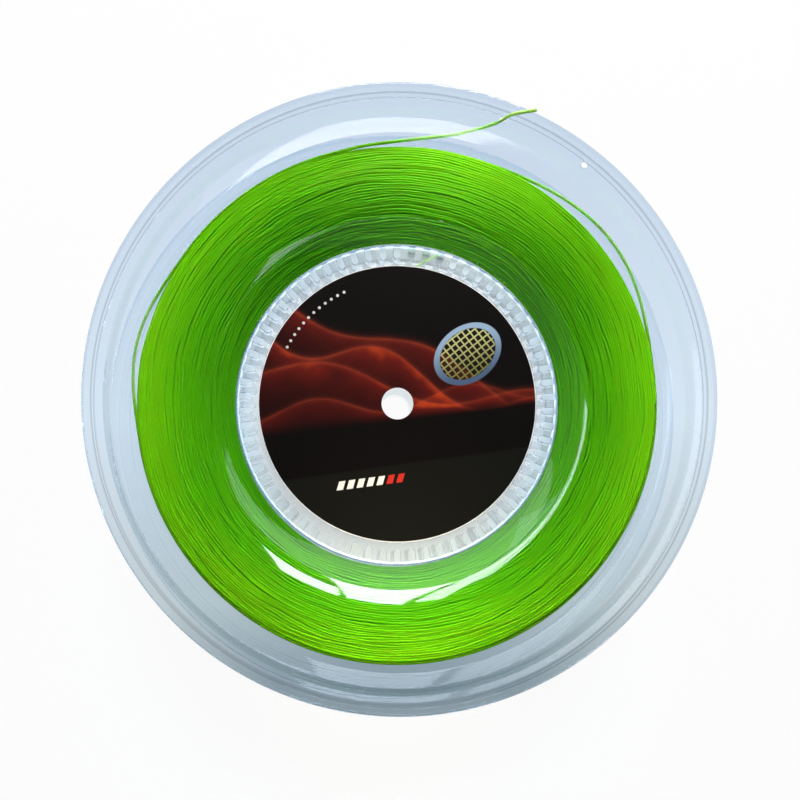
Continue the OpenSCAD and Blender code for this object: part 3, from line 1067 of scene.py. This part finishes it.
# The floor's painted shadow: darkest towards -y, where the reel's shadow falls
FLOOR_PAINTED_SHADOW = ((0.065, (0.32, 0.365, 0.375)), (0.2, (0.69, 0.70, 0.66)),
               (0.5, (0.90, 0.92, 0.93)), (0.93, (0.78, 0.81, 0.865)))
ROOM_TONES = ((0.0, (0.78, 0.84, 0.90)), (0.55, (0.60, 0.65, 0.70)),
              (0.85, (0.008, 0.008, 0.009)))


def make_floor():
    """Pale floor that keeps the reel's shadow.

    It is white where it is seen directly; where plastic shows it, it glows in painted light and
    shadow: plain white down the bore, and elsewhere darker towards -y."""
    bm = bmesh.new()
    bmesh.ops.create_grid(bm, x_segments=1, y_segments=1, size=FLOOR_HALF)
    floor = add_object("floor", mesh_from("floor", bm))
    s = Shader("floor_white")
    s.set(Base_Color=FLOOR_TINT, Roughness=0.9, Specular_IOR_Level=0.0)
    path = s.add("ShaderNodeLightPath").outputs
    _, y, radius = s.plane_place()
    # Painted light and shadow for rays through the plastic, plain white under the bore
    tone = s.ramp(s.ratio(s.plus(y, FLOOR_REACH), 2 * FLOOR_REACH), *FLOOR_PAINTED_SHADOW)
    plain = s.most(s.step(radius, *BORE_VIEW), path["Is Camera Ray"])
    lit = s.mix_colour(plain, tone, WHITE)
    glow = s.add("ShaderNodeEmission", {"Color": lit, "Strength": 1.0})
    seen = s.times(path["Is Camera Ray"], FLOOR_SEEN)
    through = s.plus(path["Is Transmission Ray"], path["Is Glossy Ray"])
    share = s.math("ADD", seen, s.times(through, FLOOR_THROUGH), clamp=True)
    s.show("Material Output", s.mix_shader(share, s.principled, glow))
    paint(floor, s.material)


def make_room():
    """Soft grey-blue light from the sides, dark overhead, and white where it is seen directly."""
    world = bpy.data.worlds.new("studio")
    bpy.context.scene.world = world
    world.use_nodes = True
    n = Nodes(world.node_tree)
    rise = n.split(n.add("ShaderNodeTexCoord").outputs["Generated"])["Z"]
    around = n.tree.nodes["Background"]
    n.feed(around.inputs["Color"], n.ramp(rise, *ROOM_TONES))
    n.feed(around.inputs["Strength"], ROOM_LIGHT)
    backdrop = n.add("ShaderNodeBackground", {"Color": WHITE})
    camera_ray = n.add("ShaderNodeLightPath").outputs["Is Camera Ray"]
    n.show("World Output", n.mix_shader(camera_ray, around, backdrop))


# ---------------------------------------------------------------- lamps
WARM_WHITE = (1, 0.97, 0.92)
AMBER = (1, 0.82, 0.5)
CARD_Z = 0.535
PANE_Z = 6
# Window panes as they lie when brought down to a height of 1 m: x, y, width, depth,
# turn in degrees and radiance
PANES = ((0.0395, 0.108, 0.044, 0.042, 15, 12),
         (0.0865, 0.1257, 0.036, 0.095, 10, 13),
         (0.1185, 0.131, 0.018, 0.093, 8, 9),
         (0.1355, 0.160, 0.0145, 0.075, 8, 6))


def add_light(name, kind, place, aim, power, colour):
    """Light that points from its place at its aim."""
    data = bpy.data.lights.new(name, kind)
    data.energy = power
    data.color = colour
    light = add_object(name, data)
    light.location = place
    away = Vector(place) - Vector(aim)
    light.rotation_euler = away.to_track_quat("Z", "Y").to_euler()
    return light


def area_lamp(name, place, aim, wide, deep, power, colour=WHITE):
    """A rectangular lamp."""
    light = add_light(name, "AREA", place, aim, power, colour)
    light.data.shape = "RECTANGLE"
    light.data.size = wide
    light.data.size_y = deep
    return light


def glowing_card(name, x, y, z, wide, deep, radiance):
    """A card that faces down and glows evenly."""
    power = radiance * math.pi * wide * deep
    return area_lamp(name, (x, y, z), (x, y, 0), wide, deep, power)


def spot_lamp(name, place, aim, width, power):
    """A soft spot whose lamp is neither mirrored nor seen through the plastic."""
    light = add_light(name, "SPOT", place, aim, power, AMBER)
    light.data.spot_size = math.radians(width)
    light.data.spot_blend = 1
    light.data.shadow_soft_size = 0.03
    light.visible_glossy = False
    light.visible_transmission = False


def light_reel():
    """A key from the far side, spots on the turns, and cards and panes that the plastic mirrors."""
    area_lamp("key", place=(0.2, 1.6, 0.75), aim=(0, 0, 0.03), wide=0.9, deep=0.5, power=60,
              colour=WARM_WHITE)

    # On the near inner turns, which the label shades from the key, and on the far outer ones
    spot_lamp("inner_spot", place=(0.03, 0.35, 0.62), aim=(0, -0.090, 0.03), width=10.5, power=29)
    spot_lamp("outer_spot", place=(0, 0.35, 0.55), aim=(0.026, 0.112, 0.033), width=10, power=15)

    # Near cards that only the steep root of the web mirrors
    glowing_card("card", x=0.018, y=0.152, z=CARD_Z, wide=0.1, deep=0.075, radiance=2.2)
    glowing_card("card_dim", x=0.012, y=0.083, z=CARD_Z, wide=0.085, deep=0.065, radiance=0.2)

    # Window panes overhead, which the clear web mirrors; the gaps are the glazing bars
    for k, (x, y, wide, deep, turn, radiance) in enumerate(PANES):
        pane = glowing_card("pane_%d" % k, x * PANE_Z, y * PANE_Z, PANE_Z,
                            wide * PANE_Z, deep * PANE_Z, radiance)
        pane.rotation_euler = (0, 0, -math.radians(turn))


# ---------------------------------------------------------------- the reel, put together
set_camera()
slack_end = LAYER_END + SLACK_SWEEP
slack_tip = layer_at(slack_end) + STRING_D * layer_way(slack_end)
free_points = [slack_tip, slack_tip + STRING_D * layer_way(slack_end)]
free_route = smooth_route(free_points + in_metres(FREE_ROUTE))
start_route = smooth_route(in_metres(START_ROUTE))
print("free end", round(route_length(free_route), 5),
      "start end", round(route_length(start_route), 5))

nylon = string_nylon("string_nylon", loose=PALE_GREEN_PAINTED_LIGHT)
nylon_loose = string_nylon("string_nylon_loose", loose=PALE_GREEN_PAINTED_LIGHT, clear=0.5)
nylon_start = string_nylon("string_nylon_start", loose=START_GREEN, clear=0.2)
# The front plastic gets a painted dark line at its lip's crease and painted shade on its pocket
# walls
styrene = clear_plastic(
    "clear_styrene", tint=(0.775, 0.885, 0.995), steep=(0.54, 0.65, 0.79),
    haze=0.0008, ring_haze=0.24, crease_r=LIP_IN_R, painted_pocket_shade=(0.32, 0.40, 0.48))
styrene_rear = clear_plastic(
    "clear_styrene_rear", tint=(0.90, 0.95, 0.98), steep=(0.64, 0.75, 0.86),
    haze=0.0008, ring_haze=0.06, painted_pocket_shade=(0.80, 0.89, 0.97))
styrene_hub = clear_plastic(
    "clear_styrene_hub", tint=(0.93, 0.965, 0.98), steep=(0.80, 0.86, 0.92),
    haze=0.1, ring_haze=0.36)
styrene_bush = clear_plastic(
    "clear_styrene_bush", tint=(0.98, 0.99, 0.995), steep=(0.95, 0.97, 0.985), haze=0.03)

# The string's two ends
free_end = cord_curve("free_end", free_route)
start_end = cord_curve("start_end", start_route)
paint(free_end, nylon_loose)
paint(start_end, nylon_start)
dress(free_end, "string", "string_free_end")
dress(start_end, "string", "string_start_end")

# Flanges, drum, bush and label
front = dress(make_flange("front_plate", True), "clear_flange", "front_flange")
rear = dress(make_flange("rear_plate", False), "clear_flange", "rear_flange")
drum = dress(make_drum(), "clear_hub", "hub_drum")
bush = dress(make_bush(), "clear_hub", "spindle_bush")
label = dress(make_label(), "label_paper", "front_label")
paint(front, styrene)
paint(rear, styrene_rear)
paint(drum, styrene_hub)
paint(bush, styrene_bush)
paint(label, label_print("label_print"))

# Wound string, its outer layer and its last, slack turn
turns = turns_tree()
winding_pieces = [face_of_turns(turns, nylon, *layer) for layer in FACE_LAYERS]
winding_pieces.append(winding_core("turn_core", nylon))
for piece in winding_pieces:
    dress(piece, "string", "string_winding")
dress(layer_of_turns(turns, nylon, "outer_turns"), "string", "string_outer_layer")

slack_angles = [LAYER_END + SLACK_SWEEP * i / SLACK_STEPS for i in range(SLACK_STEPS + 1)]
slack_route = [layer_at(a, arc_lift(a, *LONG_ARC) + arc_lift(a, *SHORT_ARC))
               for a in slack_angles] + [slack_tip]
slack = cord_curve("slack_turn", slack_route)
paint(slack, nylon_loose)
dress(slack, "string", "string_slack_turn")

# ---------------------------------------------------------------- studio
bpy.context.scene.view_settings.view_transform = "Standard"
make_floor()
make_room()
light_reel()
